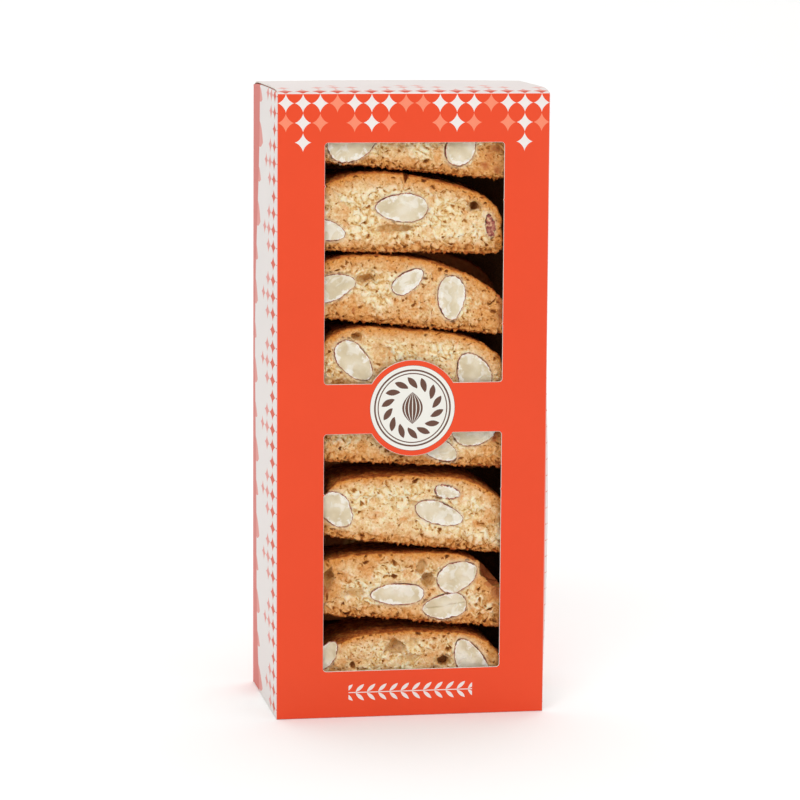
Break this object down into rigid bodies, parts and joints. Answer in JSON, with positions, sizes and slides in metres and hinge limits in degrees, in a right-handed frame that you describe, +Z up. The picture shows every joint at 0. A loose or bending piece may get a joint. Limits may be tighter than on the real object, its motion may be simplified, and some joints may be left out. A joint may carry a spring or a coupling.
{
  "type": "windowed carton of almond biscotti",
  "caption": "Upright printed carton with a divided front window, filled with stacked slices of almond biscotti whose cut faces show.",
  "frame": {"origin": "on the ground under the middle of the carton's box", "axes": "+Z up along the carton's height, -Y out of the window side, +X to the right of someone looking at the windows"},
  "size_m": [0.0998, 0.062, 0.2199],
  "materials": {
    "carton_board": "satin printed folding boxboard, warm red with white and pink print",
    "biscuit": "dry baked biscuit, cream crumb on the cut faces and golden brown crust outside",
    "almond": "cut almond kernel, cream white, with a thin red-brown skin round it"
  },
  "bodies": {
    "root": {"carton": "carton_board", "slice_1": "biscuit", "almond_1_1": "almond", "almond_1_2": "almond", "slice_2": "biscuit", "almond_2_1": "almond", "almond_2_2": "almond", "almond_2_3": "almond", "slice_3": "biscuit", "almond_3_1": "almond", "almond_3_2": "almond", "almond_3_3": "almond", "slice_4": "biscuit", "almond_4_1": "almond", "almond_4_2": "almond", "slice_5": "biscuit", "almond_5_1": "almond", "almond_5_2": "almond", "slice_6": "biscuit", "almond_6_1": "almond", "almond_6_2": "almond", "almond_6_3": "almond", "slice_7": "biscuit", "almond_7_1": "almond", "almond_7_2": "almond", "almond_7_3": "almond", "slice_8": "biscuit", "almond_8_1": "almond", "almond_8_2": "almond", "rear_slice_1": "biscuit", "rear_slice_2": "biscuit", "rear_slice_3": "biscuit", "rear_slice_4": "biscuit", "rear_slice_5": "biscuit", "rear_slice_6": "biscuit", "rear_slice_7": "biscuit", "rear_slice_8": "biscuit"}
  },
  "joints": []
}
